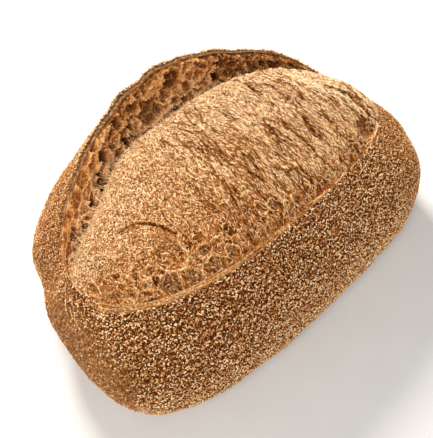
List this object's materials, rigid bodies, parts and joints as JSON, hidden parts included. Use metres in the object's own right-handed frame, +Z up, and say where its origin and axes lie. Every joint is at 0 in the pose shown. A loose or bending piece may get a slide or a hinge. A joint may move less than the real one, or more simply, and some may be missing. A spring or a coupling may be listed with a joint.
{
  "type": "whole wheat bread loaf",
  "caption": "Oval hearth loaf with a bran-coated crust, a domed bloom swollen through one long slash and a thin standing ear of crust along its far side.",
  "frame": {"origin": "middle of the loaf's box, on the plane of its flat sole", "axes": "+X along the loaf, +Y across it towards the ear, +Z up from the sole"},
  "size_m": [0.2532, 0.1722, 0.0984],
  "materials": {
    "crust": "matt baked crust, rough with bran"
  },
  "bodies": {
    "root": {"loaf": "crust"}
  },
  "joints": []
}
